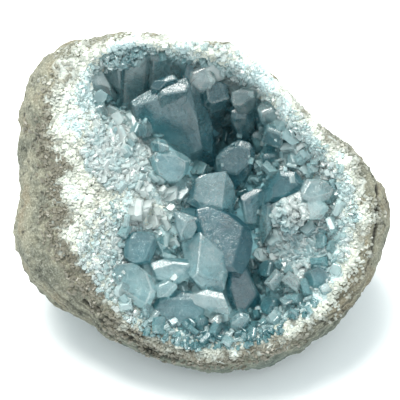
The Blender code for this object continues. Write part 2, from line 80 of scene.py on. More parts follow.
# Radii in mm at even angles, from the right side round over the top.
nodule = {
    "outline": (58.8, 51.6, 45.5, 43.5, 44.9, 49.3, 50.7, 54.7, 60.3, 66.5, 65.0, 59.5,
                57.8, 61.0, 57.7, 52.5, 51.2, 51.7, 52.9, 54.2, 54.8, 56.6, 57.5, 59.6),
    "rimShare": (0.85, 0.93, 1.02, 1.00, 0.93, 0.85, 0.76, 0.76, 0.90, 0.90, 0.90, 0.85),
    "mouthCentre": (4.1, 3.8), "hollowMiddle": -10.0, "clearOfAll": 90.0,
    "mouth": (39.7, 36.1, 32.1, 30.2, 33.4, 37.0, 40.6, 44.6, 50.6, 53.5, 41.2, 28.3,
              23.7, 27.9, 36.5, 45.5, 46.6, 46.0, 47.8, 49.0, 48.6, 47.6, 45.0, 41.8),
}


def onFace(across, up, out=0.0):
    return faceMatrix @ (Vector((across, up, out)) * mm)


def toFace(place):
    return (faceInverse @ place) / mm


def ring(radii, angle):
    place = angle / math.tau % 1.0 * len(radii)
    first = int(place) % len(radii)
    share = place - int(place)
    return radii[first] * (1 - share) + radii[(first + 1) % len(radii)] * share


def rimShare(point):  # 0 in the middle of the face, 1 where the broken face meets the rind
    angle = math.atan2(point.y, point.x)
    edge = ring(nodule["rimShare"], angle) * ring(nodule["outline"], angle)
    return math.hypot(point.x, point.y) / edge


def mouthShare(point):  # 1 at the edge of the hollow
    across, up = point.x - nodule["mouthCentre"][0], point.y - nodule["mouthCentre"][1]
    return math.hypot(across, up) / ring(nodule["mouth"], math.atan2(up, across))


def fade(value, low, high):
    share = min(1.0, max(0.0, (value - low) / (high - low)))
    return share * share * (3 - 2 * share)


def wander(place, waves):  # smooth noise at a place in mm, from pairs of size and strength
    return sum(strength * noise.noise(place / size) for size, strength in waves)


def deselectAll():
    if bpy.context.mode != "OBJECT":
        bpy.ops.object.mode_set(mode="OBJECT")
    bpy.ops.object.select_all(action="DESELECT")


def pick(piece):
    deselectAll()
    piece.select_set(True)
    bpy.context.view_layer.objects.active = piece


def editAll():
    bpy.ops.object.mode_set(mode="EDIT")
    bpy.ops.mesh.select_all(action="SELECT")


def applyAll(piece):
    pick(piece)
    for modifier in list(piece.modifiers):
        bpy.ops.object.modifier_apply(modifier=modifier.name)


def surfaceOf(piece):
    bm = bmesh.new()
    bm.from_mesh(piece.data)
    tree = BVHTree.FromBMesh(bm)
    bm.free()
    return tree


def seat(tree, across, up):  # the place under a point of the face, seen square on
    place, normal, _, _ = tree.ray_cast(onFace(across, up, nodule["clearOfAll"]), -outward)
    return place, normal


def writeAttribute(piece, name, values):
    made = piece.data.attributes.new(name, "FLOAT", "POINT")
    made.data.foreach_set("value", values)


def dress(piece, material):
    piece.data.materials.clear()
    piece.data.materials.append(material)


def newMaterial(name):
    made = bpy.data.materials.new(name)
    made.use_nodes = True
    tree = made.node_tree
    return made, tree, tree.nodes["Principled BSDF"], tree.nodes["Material Output"]


def addNode(tree, kind, **inputs):
    node = tree.nodes.new(kind)
    for name, value in inputs.items():
        node.inputs[name].default_value = value
    return node


def addRamp(tree, factor, stops):
    node = tree.nodes.new("ShaderNodeValToRGB")
    ramp = node.color_ramp
    while len(ramp.elements) < len(stops):
        ramp.elements.new(0.5)
    for element, (position, colour) in zip(ramp.elements, stops):
        element.position = position
        element.color = (*colour, 1.0)
    tree.links.new(factor, node.inputs["Fac"])
    return node.outputs["Color"]


def addMix(tree, factor, first, second):
    node = tree.nodes.new("ShaderNodeMix")
    node.data_type = "RGBA"
    for socket, value in ((node.inputs["Factor"], factor), (node.inputs[6], first), (node.inputs[7], second)):
        if isinstance(value, bpy.types.NodeSocket):
            tree.links.new(value, socket)
        elif isinstance(value, tuple):
            socket.default_value = (*value, 1.0)
        else:
            socket.default_value = value
    return node.outputs[2]


def addMath(tree, kind, first, second):
    node = tree.nodes.new("ShaderNodeMath")
    node.operation = kind
    for socket, value in zip(node.inputs, (first, second)):
        if isinstance(value, bpy.types.NodeSocket):
            tree.links.new(value, socket)
        else:
            socket.default_value = value
    return node.outputs[0]


def addNoise(tree, coords, scale, detail=4.0, rough=0.55, distortion=0.0):
    node = addNode(tree, "ShaderNodeTexNoise", Scale=scale, Detail=detail, Roughness=rough,
                   Distortion=distortion)
    tree.links.new(coords, node.inputs["Vector"])
    return node.outputs["Fac"]


def centred(tree, value, strength):  # noise round 0, times its strength
    return addMath(tree, "MULTIPLY", addMath(tree, "SUBTRACT", value, 0.5), strength)


def addReader(tree, name):
    node = tree.nodes.new("ShaderNodeAttribute")
    node.attribute_name = name
    return node.outputs["Fac"]


# Limestone and sugar

stone = {
    "rindPale": (0.36, 0.345, 0.25), "rindGrey": (0.155, 0.16, 0.12), "rindDark": (0.035, 0.035, 0.027),
    "rindTan": (0.30, 0.245, 0.155), "rindSpeck": (0.50, 0.50, 0.43),
    "sugarWhite": (0.56, 0.58, 0.52), "sugarGrey": (0.34, 0.385, 0.36), "sugarTan": (0.30, 0.28, 0.21),
    # the bed colours run from pale to deep teal deeper in the hollow; the darker deep end is painted shade
    "bedPale": (0.66, 0.80, 0.80), "bedTeal": (0.30, 0.56, 0.60), "bedDeep": (0.20, 0.46, 0.53),
    # the teal at the base is painted shade, darkening the lower part of the rock as if in shadow
    "baseShadeTeal": (0.10, 0.15, 0.135), "crack": (0.035, 0.033, 0.025),
    "rindRough": 0.92, "sugarRough": 0.6, "grainShare": 0.5, "bandShare": 0.6,
    "bump": 0.0013, "bumpStrength": 0.9, "fineBump": 0.5,
    # how fine each noise is, and how far the two coarse ones break up the edge of the white zone
    "broad": 70, "blotches": 150, "middle": 320, "fine": 1500, "bands": 0.9,
    "broadEdge": 1.0, "middleEdge": 0.6,
}


def rindColour(tree, coords, broad, middle, fine):
    colour = addRamp(tree, broad,
                     ((0.40, stone["rindGrey"]), (0.50, stone["rindPale"]), (0.60, stone["rindTan"])))
    blotches = addRamp(tree, addNoise(tree, coords, stone["blotches"], detail=3, rough=0.6),
                       ((0.58, black), (0.72, (0.7, 0.7, 0.7))))
    colour = addMix(tree, blotches, colour, stone["rindGrey"])
    grains = addRamp(tree, fine,
                     ((0.34, stone["rindDark"]), (0.50, stone["rindGrey"]), (0.68, stone["rindSpeck"])))
    colour = addMix(tree, stone["grainShare"], colour, grains)
    pits = addRamp(tree, middle, ((0.35, (0.9, 0.9, 0.9)), (0.43, black)))
    colour = addMix(tree, pits, colour, stone["rindDark"])
    bands = addNode(tree, "ShaderNodeTexNoise", Scale=stone["bands"], Detail=4.0)
    bands.noise_dimensions = "1D"
    tree.links.new(addReader(tree, "layer"), bands.inputs["W"])
    dark = addRamp(tree, bands.outputs["Fac"], ((0.40, white), (0.52, black)))
    dark = addMath(tree, "MULTIPLY", dark, addReader(tree, "layered"))
    dark = addMath(tree, "MULTIPLY", dark, stone["bandShare"])
    colour = addMix(tree, dark, colour, stone["rindDark"])
    # painted shade: the lower part of the rock is mixed towards dark teal
    return addMix(tree, addReader(tree, "base"), colour, stone["baseShadeTeal"])


def sugarColour(tree, middle, fine):
    colour = addRamp(tree, middle,
                     ((0.36, stone["sugarTan"]), (0.44, stone["sugarGrey"]), (0.54, stone["sugarWhite"])))
    grains = addRamp(tree, fine, ((0.38, stone["sugarGrey"]), (0.55, stone["sugarWhite"])))
    return addMix(tree, stone["grainShare"], colour, grains)


def stoneMaterial():
    made, tree, shader, _ = newMaterial("limestone")
    coords = tree.nodes.new("ShaderNodeTexCoord").outputs["Object"]
    broad = addNoise(tree, coords, stone["broad"], detail=5)
    middle = addNoise(tree, coords, stone["middle"], detail=6, rough=0.65)
    fine = addNoise(tree, coords, stone["fine"], rough=0.7)
    rind = rindColour(tree, coords, broad, middle, fine)
    sugar = sugarColour(tree, middle, fine)
    patchy = addMath(tree, "ADD", addReader(tree, "sugar"), centred(tree, broad, stone["broadEdge"]))
    patchy = addMath(tree, "ADD", patchy, centred(tree, middle, stone["middleEdge"]))
    sugarMask = addRamp(tree, patchy, ((0.34, black), (0.66, white)))
    colour = addMix(tree, sugarMask, rind, sugar)
    # the bed is painted darker deeper in the hollow, as shade
    bed = addRamp(tree, addReader(tree, "depth"),
                  ((0.0, stone["bedPale"]), (0.5, stone["bedTeal"]), (1.0, stone["bedDeep"])))
    colour = addMix(tree, addReader(tree, "hollow"), colour, bed)
    # painted shade in the cracks
    colour = addMix(tree, addReader(tree, "crack"), colour, stone["crack"])
    tree.links.new(colour, shader.inputs["Base Color"])
    roughness = addMix(tree, sugarMask, (stone["rindRough"],) * 3, (stone["sugarRough"],) * 3)
    tree.links.new(roughness, shader.inputs["Roughness"])
    bump = addNode(tree, "ShaderNodeBump", Strength=stone["bumpStrength"], Distance=stone["bump"])
    height = addMath(tree, "ADD", middle, addMath(tree, "MULTIPLY", fine, stone["fineBump"]))
    tree.links.new(height, bump.inputs["Height"])
    tree.links.new(bump.outputs["Normal"], shader.inputs["Normal"])
    return made


# Sizes in mm. Waves are pairs of size and strength, and edges are where a mark starts and where it is full.
rock = {
    "voxel": 0.75, "smoothSteps": 14,
    "lumps": (("BLENDER_ORIGINAL", 7.0, 1.5), ("ORIGINAL_PERLIN", 2.6, 0.9), ("ORIGINAL_PERLIN", 1.3, 0.55)),
    "sugarKnobs": (1.6, 0.6), "rindDents": (3.6, 1.3),
    "ledgeSpacing": 3.6, "ledgeDepth": 0.6,
    "crackDepth": 0.8, "crackEdge": (0.65, 0.15), "crackWaves": ((2, 0.35),), "crackDeepest": -12,
    "standEdge": (0.8, 2.8), "ledgeFoot": (0.8, 3.8),
    "mouthEdge": (1.06, 0.98), "hollowTop": (18.0, 14.0), "hollowFoot": (9.0, 12.0),
    "hollowFacing": -0.2, "hollowDeepest": -24, "undercutFacing": (0.1, 0.4), "undercutReach": 1.5,
    "depthEdge": (-14.0, 18.0), "hollowKnobs": 0.7,
    "sugarEdge": (1.07, 0.95), "sugarWaves": ((9, 0.10), (3, 0.05)), "sugarDeepest": (-8.0, 2.0),
    "sugarLumps": 0.5,
    "layerTilt": 0.12, "layerWaves": ((14, 1.2),), "layeredBelow": (14.0, 34.0), "layeredFrom": (0.98, 1.06),
    # painted shade: how strongly the rock is darkened towards the ground, and over which heights
    "baseShade": 0.7, "baseEdge": (30.0, 6.0),
    "cracks": (
        ((-33, 7), (-36, 4), (-37.5, -1), (-38.5, -8.5), (-40, -13.5), (-43, -17.5)),
        ((-37, -31), (-29, -36.5), (-19.5, -42), (-10, -45.5), (1, -47.5)),
        ((-32, -36.5), (-24.5, -42), (-16.5, -45.8), (-7, -48.2)),
        ((-19.5, -46), (-14, -48.2), (-8, -49.5)),
        ((55, 5.5), (55, -4), (54, -12), (52.5, -19)),
    ),
}


def crackNearness(point):
    nearest = math.inf
    here = Vector((point.x, point.y))
    for line in rock["cracks"]:
        for start, end in zip(line, line[1:]):
            first, second = Vector(start), Vector(end)
            along = second - first
            share = min(1.0, max(0.0, (here - first).dot(along) / along.length_squared))
            nearest = min(nearest, (here - first - along * share).length)
    return nearest


def displace(piece, name, kind, basis, size, depth, group):
    texture = bpy.data.textures.new(name, kind)
    texture.noise_scale = size * mm
    if kind == "CLOUDS":
        texture.noise_basis = basis
        texture.noise_depth = 2
    modifier = piece.modifiers.new(name, "DISPLACE")
    modifier.texture = texture
    modifier.texture_coords = "LOCAL"
    modifier.strength = depth * mm
    modifier.mid_level = 0.5
    modifier.vertex_group = group


def rockMarks(vertex, hollowCentre):
    place, point = vertex.co / mm, toFace(vertex.co)
    mouth = mouthShare(point)
    hollow = fade(mouth, *rock["mouthEdge"]) * fade(point.z, *rock["hollowTop"])
    hollow *= fade(place.z, *rock["hollowFoot"])
    hollow *= vertex.normal.dot(outward) > rock["hollowFacing"] and point.z > rock["hollowDeepest"]
    facesIn = (hollowCentre - vertex.co).normalized().dot(vertex.normal)
    hollow = max(hollow, fade(facesIn, *rock["undercutFacing"]) * (mouth < rock["undercutReach"]))
    sugar = fade(rimShare(point) + wander(place, rock["sugarWaves"]), *rock["sugarEdge"])
    # the crack mask cuts the grooves and also paints shade in them
    crack = 0.0
    if point.z > rock["crackDeepest"]:
        crack = fade(crackNearness(point) + wander(place, rock["crackWaves"]), *rock["crackEdge"])
    return {
        "hollow": hollow,
        # depth sets the bed's painted shade deeper in the hollow
        "depth": fade(-point.z, *rock["depthEdge"]),
        "sugar": sugar * fade(point.z, *rock["sugarDeepest"]),
        "crack": crack * (1 - hollow),
        "layer": point.z + rock["layerTilt"] * point.x + wander(place, rock["layerWaves"]),
        "layered": fade(-point.y, *rock["layeredBelow"]) * fade(rimShare(point), *rock["layeredFrom"]),
        # painted shade near the ground
        "base": rock["baseShade"] * fade(place.z, *rock["baseEdge"]),
    }


def makeRock():
    pick(frame["nodes"]["matrix_rock"])
    bpy.ops.object.duplicate()
    made = bpy.context.object
    made.name = "limestoneNodule"
    bpy.ops.object.parent_clear(type="CLEAR_KEEP_TRANSFORM")
    editAll()
    bpy.ops.mesh.remove_doubles(threshold=tiny)
    bpy.ops.object.mode_set(mode="OBJECT")
    remesh = made.modifiers.new("grains", "REMESH")
    remesh.mode = "VOXEL"
    remesh.voxel_size = rock["voxel"] * mm
    smooth = made.modifiers.new("worn", "SMOOTH")
    smooth.iterations = rock["smoothSteps"]
    applyAll(made)

    vertices = made.data.vertices
    ground = cadBox[0].z
    hollowCentre = onFace(*nodule["mouthCentre"], nodule["hollowMiddle"])
    marks = [rockMarks(vertex, hollowCentre) for vertex in vertices]
    rindGroup = made.vertex_groups.new(name="rindMoves")
    sugarGroup = made.vertex_groups.new(name="sugarMoves")
    for vertex, mark in zip(vertices, marks):
        free = fade((vertex.co.z - ground) / mm, *rock["standEdge"])
        rind = (1 - mark["hollow"]) * (1 - rock["sugarLumps"] * mark["sugar"])
        knobs = max(mark["sugar"] * (1 - mark["hollow"]), rock["hollowKnobs"] * mark["hollow"])
        rindGroup.add([vertex.index], free * rind, "REPLACE")
        sugarGroup.add([vertex.index], free * knobs, "REPLACE")
    for number, (basis, size, depth) in enumerate(rock["lumps"]):
        displace(made, f"lumps{number}", "CLOUDS", basis, size, depth, "rindMoves")
    displace(made, "rindDents", "VORONOI", None, *rock["rindDents"], "rindMoves")
    displace(made, "sugarKnobs", "VORONOI", None, *rock["sugarKnobs"], "sugarMoves")
    normals = [vertex.normal.copy() for vertex in vertices]
    for vertex, normal, mark in zip(vertices, normals, marks):
        free = fade((vertex.co.z - ground) / mm, *rock["ledgeFoot"])
        ledge = free * mark["layered"] * ((mark["layer"] / rock["ledgeSpacing"]) % 1.0 - 0.5)
        vertex.co += normal * mm * (rock["ledgeDepth"] * ledge - rock["crackDepth"] * mark["crack"])
    applyAll(made)
    for name in marks[0]:
        writeAttribute(made, name, [mark[name] for mark in marks])
    pick(made)
    bpy.ops.object.shade_smooth()
    dress(made, stoneMaterial())
    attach(made, "root")
    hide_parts("matrix_rock")
    print("limestone nodule", len(made.data.polygons), "faces")
    return made


# Celestite

# tones: the colour of each tone, 0 the palest. density is the absorption's, per metre.
glass = {
    "ior": 1.62, "absorbColour": (0.30, 0.60, 0.67), "coat": 0.15, "coatRough": 0.03, "bumpDepth": 0.0004,
    "clouds": 130, "veils": 420, "lines": 480, "etching": 1700, "etched": 0.4,
    "lineTurn": (0.5, 0.9, 0.4), "lineStretch": (1.0, 1.0, 0.22),
    "blocks": {
        "cloudy": 0.85, "veiled": 0.55, "streaked": 0.25,
        "transmission": 0.84, "density": 45.0, "roughness": (0.08, 0.32), "bump": 0.35,
        "tones": ((0.0, (0.90, 0.97, 0.95)), (0.2, (0.64, 0.81, 0.81)), (0.4, (0.37, 0.58, 0.60)),
                  (0.6, (0.18, 0.38, 0.42)), (0.8, (0.09, 0.27, 0.31)), (1.0, (0.045, 0.18, 0.22))),
    },
    "druse": {
        "cloudy": 0.5, "veiled": 0.3, "streaked": 0.15,
        "transmission": 0.66, "density": 40.0, "roughness": (0.04, 0.25), "bump": 0.25,
        "tones": ((0.0, (0.90, 0.98, 0.96)), (0.25, (0.70, 0.87, 0.87)), (0.5, (0.42, 0.63, 0.65)),
                  (0.75, (0.20, 0.41, 0.44)), (1.0, (0.09, 0.26, 0.29))),
    },
}


def crystalGrowth():  # clouds, veils and growth lines, for every crystal material
    made = bpy.data.node_groups.get("crystalGrowth")
    if made:
        return made
    made = bpy.data.node_groups.new("crystalGrowth", "ShaderNodeTree")
    made.interface.new_socket("Vector", in_out="INPUT", socket_type="NodeSocketVector")
    for name in ("Tone", "Cloudy", "Veiled", "Streaked"):
        made.interface.new_socket(name, in_out="INPUT", socket_type="NodeSocketFloat")
    for name in ("Tone", "Veil", "Height"):
        made.interface.new_socket(name, in_out="OUTPUT", socket_type="NodeSocketFloat")
    start, end = made.nodes.new("NodeGroupInput"), made.nodes.new("NodeGroupOutput")
    coords = start.outputs["Vector"]
    cloud = addNoise(made, coords, glass["clouds"], detail=3, rough=0.5, distortion=0.6)
    veil = addNoise(made, coords, glass["veils"], detail=5, rough=0.6, distortion=1.5)
    stretch = addNode(made, "ShaderNodeMapping", Rotation=glass["lineTurn"], Scale=glass["lineStretch"])
    made.links.new(coords, stretch.inputs["Vector"])
    lines = addNoise(made, stretch.outputs["Vector"], glass["lines"], detail=3, rough=0.5, distortion=0.8)
    streak = addRamp(made, lines, ((0.56, black), (0.72, white)))
    tone = addMath(made, "ADD", start.outputs["Tone"], centred(made, cloud, start.outputs["Cloudy"]))
    tone = addMath(made, "ADD", tone, centred(made, veil, start.outputs["Veiled"]))
    tone = addMath(made, "SUBTRACT", tone, addMath(made, "MULTIPLY", streak, start.outputs["Streaked"]))
    made.links.new(tone, end.inputs["Tone"])
    made.links.new(veil, end.inputs["Veil"])
    etching = addNoise(made, coords, glass["etching"], detail=3, rough=0.6)
    etched = addMath(made, "MULTIPLY", etching, glass["etched"])
    made.links.new(addMath(made, "ADD", addMath(made, "ADD", veil, lines), etched), end.inputs["Height"])
    return made


def glassMaterial(name, values):
    made, tree, shader, output = newMaterial(name)
    grown = tree.nodes.new("ShaderNodeGroup")
    grown.node_tree = crystalGrowth()
    tree.links.new(tree.nodes.new("ShaderNodeTexCoord").outputs["Object"], grown.inputs["Vector"])
    tree.links.new(addReader(tree, "tone"), grown.inputs["Tone"])
    for share in ("cloudy", "veiled", "streaked"):
        grown.inputs[share.capitalize()].default_value = values[share]
    tree.links.new(addRamp(tree, grown.outputs["Tone"], values["tones"]), shader.inputs["Base Color"])
    low, high = values["roughness"]
    roughness = addRamp(tree, grown.outputs["Veil"], ((0.38, (low,) * 3), (0.66, (high,) * 3)))
    tree.links.new(roughness, shader.inputs["Roughness"])
    shader.inputs["Metallic"].default_value = 0.0
    shader.inputs["IOR"].default_value = glass["ior"]
    shader.inputs["Transmission Weight"].default_value = values["transmission"]
    shader.inputs["Coat Weight"].default_value = glass["coat"]
    shader.inputs["Coat Roughness"].default_value = glass["coatRough"]
    bump = addNode(tree, "ShaderNodeBump", Strength=values["bump"], Distance=glass["bumpDepth"])
    tree.links.new(grown.outputs["Height"], bump.inputs["Height"])
    tree.links.new(bump.outputs["Normal"], shader.inputs["Normal"])
    absorb = tree.nodes.new("ShaderNodeVolumeAbsorption")
    absorb.inputs["Color"].default_value = (*glass["absorbColour"], 1.0)
    absorb.inputs["Density"].default_value = values["density"]
    tree.links.new(absorb.outputs["Volume"], output.inputs["Volume"])
    return made


# Crystals of the plain form: tip on the face, lean, width, thickness, turn, ridge off the middle, tone.
plain = {
    "greySide": ((6.5, 13.0, -8.0), (-0.15, 0.25), 5.5, 6.0, 30, 0.0, 0.7),
    "domeShoulder": ((-4.0, -4.5, 9.0), (-0.20, 0.35), 8.0, 8.0, -20, 0.0, 0.65),
    "glitterUpper": ((27.5, -5.0, 14.5), (0.05, 0.05), 6.5, 6.0, 40, 0.0, 0.32),
    "glitterLeft": ((25.0, -15.0, 12.5), (-0.10, 0.05), 6.5, 6.0, -28, 0.1, 0.34),
    "glitterRight": ((33.0, -15.5, 14.5), (0.10, 0.00), 7.0, 6.0, 32, 0.1, 0.34),
    "creamLeft": ((22.5, -24.0, 12.0), (-0.10, 0.15), 6.0, 4.0, 50, 0.0, 0.1),
    "creamRight": ((28.5, -24.5, 13.5), (0.05, 0.15), 6.0, 4.0, -38, 0.0, 0.1),
    "glassCubeLeft": ((27.5, -31.5, 12.5), (0.00, -0.10), 5.0, 4.5, 26, 0.0, 0.4),
    "glassCubeRight": ((32.5, -33.0, 12.5), (0.10, -0.10), 5.0, 4.5, -16, 0.0, 0.4),
    "channelUpper": ((21.5, -21.0, 6.0), (0.05, 0.10), 5.5, 7.0, 78, 0.0, 0.66),
    "channelLower": ((22.0, -33.0, 8.0), (0.05, -0.05), 6.0, 6.5, 64, 0.0, 0.66),
    "roundUpper": ((21.3, 14.8, 4.0), (-0.10, 0.15), 5.5, 8.5, 10, 0.0, 0.7),
    "lipFacet": ((-32.5, 29.5, 13.5), (0.15, 0.10), 5.5, 6.5, 20, 0.0, 0.4),
    "rightLipUpper": ((20.3, 28.5, 12.5), (-0.15, 0.05), 6.0, 7.0, 16, 0.0, 0.3),
    "rightLipLower": ((22.5, 21.5, 13.5), (-0.10, 0.05), 6.5, 7.5, -20, 0.1, 0.35),
    "topLeftPatch": ((-27.0, 46.0, 14.0), (-0.05, 0.10), 9.0, 7.0, 28, 0.1, 0.6),
    "topPatch": ((-20.5, 47.5, 14.0), (0.05, 0.15), 7.5, 6.0, -24, 0.1, 0.6),
}

# The crystals that stand out most: tone, lean, the facets that close the end, each by its height over the
# middle of the outline and its rise across and up, and the outline of the end, seen square on, in mm.
cut = {
    "backSlabLeft": (0.33, (0.2, 0.7), ((4.5, 0.15, 0.7),),
        ((-31.5, 43.5), (-25.5, 45), (-25, 32.5), (-28, 34), (-30.5, 38.5))),
    "backSlab": (0.35, (0.1, 0.8), ((4.5, -0.15, 0.75),),
        ((-26, 45), (-16.5, 45), (-16.5, 36.5), (-22, 29.5), (-25.5, 31.5))),
    "backSlabRight": (0.35, (0, 0.8), ((5.5, -0.2, 0.7),),
        ((-17, 45), (-11.5, 46.5), (-6.5, 43), (-8, 39), (-16.5, 36))),
    "upperBlock": (0.61, (-0.1, 0.9), ((5.5, 0, 0.62), (15.5, 0.35, -0.5)),
        ((-22.5, 30), (-17, 33), (-4.5, 35.5), (-1.5, 26.5), (1, 16.5), (-4.5, 13.5), (-13.5, 17.5),
         (-20, 23.5))),
    "upperSide": (0.69, (-0.1, 0.9), ((3, -0.75, 0.45),),
        ((-4.5, 37.5), (-2, 36), (3, 28.5), (2, 19.5), (0.5, 14), (-4.5, 16.5), (-5.5, 29))),
    "upperStep": (0.56, (-0.1, 0.9), ((12, 0, -0.5),),
        ((-14, 34.5), (-8, 39), (-4.5, 37.5), (-4.5, 34.5), (-13.5, 32.5))),
    "upperStrip": (0.66, (-0.1, 0.9), ((12.5, 0, -0.5),),
        ((-16.5, 37.5), (-13.5, 40), (-9, 41), (-7.5, 39), (-13.5, 36))),
    "paleBlade": (0.05, (-0.2, 0.25), ((11.5, 0.1, 0.05), (14.5, 0.3, 0.5)),
        ((-37.5, 40.5), (-34.5, 44), (-32, 42), (-29, 36.5), (-29.5, 34.5), (-32.5, 34.5), (-36.5, 37))),
    "skyTongue": (0.1, (0.1, 0.3), ((10.5, 0, 0.1),),
        ((-4, 41.5), (0.5, 43.5), (3.5, 42), (5, 39), (3, 36), (-0.5, 35.5), (-4, 38))),
    "hangingTongue": (0.58, (0.1, 0.3), ((7.5, 0, 0.35),),
        ((0.5, 35.5), (4, 37.5), (8, 37), (9, 33), (6.5, 30.5), (3.5, 29.5), (1, 31.5))),
    "rightLobeUpper": (0.4, (-0.1, 0.3), ((9.5, -0.1, 0.3),),
        ((9, 34.5), (13, 36), (17.5, 35), (16.5, 31.5), (14, 29.5), (10.5, 29.5), (9, 32))),
    "rightLobeLower": (0.62, (-0.1, 0.4), ((3.5, -0.1, 0.35),),
        ((9, 29), (13, 30.5), (16, 29.5), (16, 26.5), (14, 24.5), (10.5, 24.5), (9, 26.5))),
    "greyBlock": (0.7, (0.1, 0.3), ((0.5, 0.1, 0.1), (3, -0.5, 0.1)),
        ((4.5, 14.5), (7, 17.5), (11.5, 20), (15, 19), (17, 16), (16, 10.5), (12, 6.5), (8, 7), (5, 10.5))),
    "milkyCrystal": (0.46, (0, 0.35), ((5.5, 0.05, -0.1), (8.5, -0.7, 0)),
        ((-4.5, 3.5), (-3, 7.5), (0, 9), (7.5, 10), (10, 6.5), (10.5, 2.5), (9, -1.5), (4.5, -3),
         (-1.5, -1.5), (-5, 0.5))),
    "domeCrystal": (0.92, (0.15, 0.2), ((10.5, 0, -0.2), (14, -0.75, 0)),
        ((-1.5, -1.5), (2, -0.5), (6.5, -2), (11.5, -4), (15.5, -7.5), (16.5, -12), (15.5, -17.5),
         (13, -22.5), (6.5, -22), (0.5, -15), (-2, -6.5))),
    "leftRound": (0.36, (0, 0.2), ((16, 0.05, -0.1), (16, -0.6, 0.2)),
        ((-9, -2.5), (-5.5, -3), (-2.5, -4.5), (-1.5, -7.5), (-3, -10.5), (-6.5, -12), (-8, -8))),
    "frontPoint": (0.36, (0.1, 0.1), ((14.5, -0.25, -0.2), (17, 0.8, -0.3), (17.5, 0, 0.7)),
        ((-6, -12.5), (-0.5, -9), (8.5, -17), (8.5, -22.5), (6.5, -29.5), (1, -28), (-4, -23),
         (-5, -17.5))),
    "stripeCrystal": (0.78, (0.05, 0.15), ((15, 0.05, -0.15), (16.5, 0.55, -0.2)),
        ((-24, -11.5), (-22, -9), (-15, -9.5), (-14, -13.5), (-16, -18.5), (-21, -19.5), (-24.5, -17))),
    "skyBlock": (0.35, (0.1, 0), ((15.5, 0.1, -0.1), (18.5, -0.5, -0.3)),
        ((-28.5, -22), (-26.5, -19.5), (-21, -19), (-16, -23), (-14, -27.5), (-17, -34.5), (-22, -31.5),
         (-26.5, -27))),
    "midFacet": (0.48, (0.1, 0.1), ((14, 0, -0.1), (15.5, -0.4, 0.3)),
        ((-16.5, -19), (-10, -17), (-4, -17.5), (-3, -23), (-7, -25.5), (-14, -24.5))),
    "paleOval": (0.34, (0.1, -0.1), ((16, 0, -0.1),),
        ((-14.5, -26), (-11.5, -24.5), (-8, -25.5), (-7.5, -27), (-10, -29.5), (-14, -30))),
    "tealFace": (0.68, (0.1, -0.2), ((12.5, 0, 0.15), (16.5, 0, -0.75)),
        ((-17, -34.5), (-14, -30.5), (-8, -28), (-3, -28.5), (1, -34), (0, -38), (-5.5, -40.5),
         (-11.5, -40.5), (-16.5, -37))),
    "paleWedge": (0.05, (0.2, -0.1), ((14, 0.1, 0.1), (17, 0.5, -0.5)),
        ((-4, -29.5), (1.5, -27.5), (6.5, -28.5), (9, -35.5), (3, -34.5), (-2.5, -32))),
    "creamChip": (0.05, (0.1, -0.2), ((13, 0, -0.4),),
        ((2, -37.5), (4.5, -35.5), (6.5, -35.5), (6.5, -37.5), (4.5, -39))),
    "lowerBlock": (0.46, (0.1, -0.2), ((11.5, 0, 0.1), (13.5, -0.5, -0.2)),
        ((9, -37), (12, -34.5), (15, -35.5), (15, -39), (12.5, -42), (9, -40))),
    "lowerRound": (0.86, (0, -0.2), ((10.5, 0, 0.1), (13.5, 0, -0.6)),
        ((2.5, -41), (6, -38), (10.5, -41), (14, -44), (14, -46.5), (10, -48), (5.5, -46))),
    "deepPlate": (0.9, (0.1, 0.1), ((3, -0.1, -0.1),),
        ((8.5, -18.5), (14, -19.5), (19, -30.5), (16, -34.5), (10, -35.5), (8, -28.5))),
    "darkPrism": (0.8, (0.3, 0.2), ((12, 0.1, 0.2), (15, -0.5, -0.4)),
        ((21.5, 5.5), (24.5, 10), (29.5, 9.5), (33, 5.5), (30.5, 3.5), (25.5, 1), (21, 0.5))),
    "paleShelf": (0.24, (0.1, 0.1), ((15, 0.1, -0.3),),
        ((22, -0.5), (31.5, 4), (34.5, 3), (32, -1.5), (26.5, -4), (22.5, -3.5))),
    "thinPlate": (0.55, (0.1, 0.2), ((7.5, 0.2, 0.1),),
        ((19.5, 2.5), (21.5, 4.5), (22.5, 2), (22, -8), (19.5, -12.5), (18.5, -6.5))),
    "deepRight": (0.7, (0, 0.25), ((0, -0.2, 0.1),),
        ((12, 2), (16.5, 4.5), (20.5, 4.5), (20, -3), (18.5, -8), (14, -8))),
    "roundWhite": (0.12, (0.1, -0.1), ((16.5, 0, -0.1),),
        ((31, -2), (34, 1.5), (38, 0.5), (40, -2), (37.5, -5.5), (33, -5.5))),
    "rimBlock": (0.15, (0.15, 0.15), ((17, -0.1, -0.2),),
        ((31, 4), (33, 7.5), (38, 7.5), (41.5, 4), (40, 1), (34.5, -0.5), (31.5, 1))),
    "greyClear": (0.66, (0.1, 0), ((13.5, 0.1, 0.1), (15.5, -0.5, -0.3)),
        ((32, -22.5), (36.5, -20), (40, -21.5), (43.5, -27), (39, -28.5), (33.5, -26.5))),
    "lipSlab": (0.38, (0.15, 0.1), ((10.5, -0.1, 0.1), (12.5, -0.6, 0.1)),
        ((-16.5, 14), (-12.5, 16.5), (-7, 16), (-3, 13.5), (-4, 10), (-7, 6.5), (-10.5, 6.5), (-15, 9.5))),
    "lipRoundLeft": (0.46, (0.1, 0.2), ((12, 0, -0.1),),
        ((-20, 23.5), (-18.5, 26), (-16, 25.5), (-15, 22.5), (-16.5, 20.5), (-19.5, 21))),
    "lipRoundRight": (0.44, (0.1, 0.1), ((11.5, 0, -0.1),),
        ((-16, 19), (-14, 20.5), (-11, 19.5), (-10, 16.5), (-12.5, 15.5), (-15.5, 16))),
}

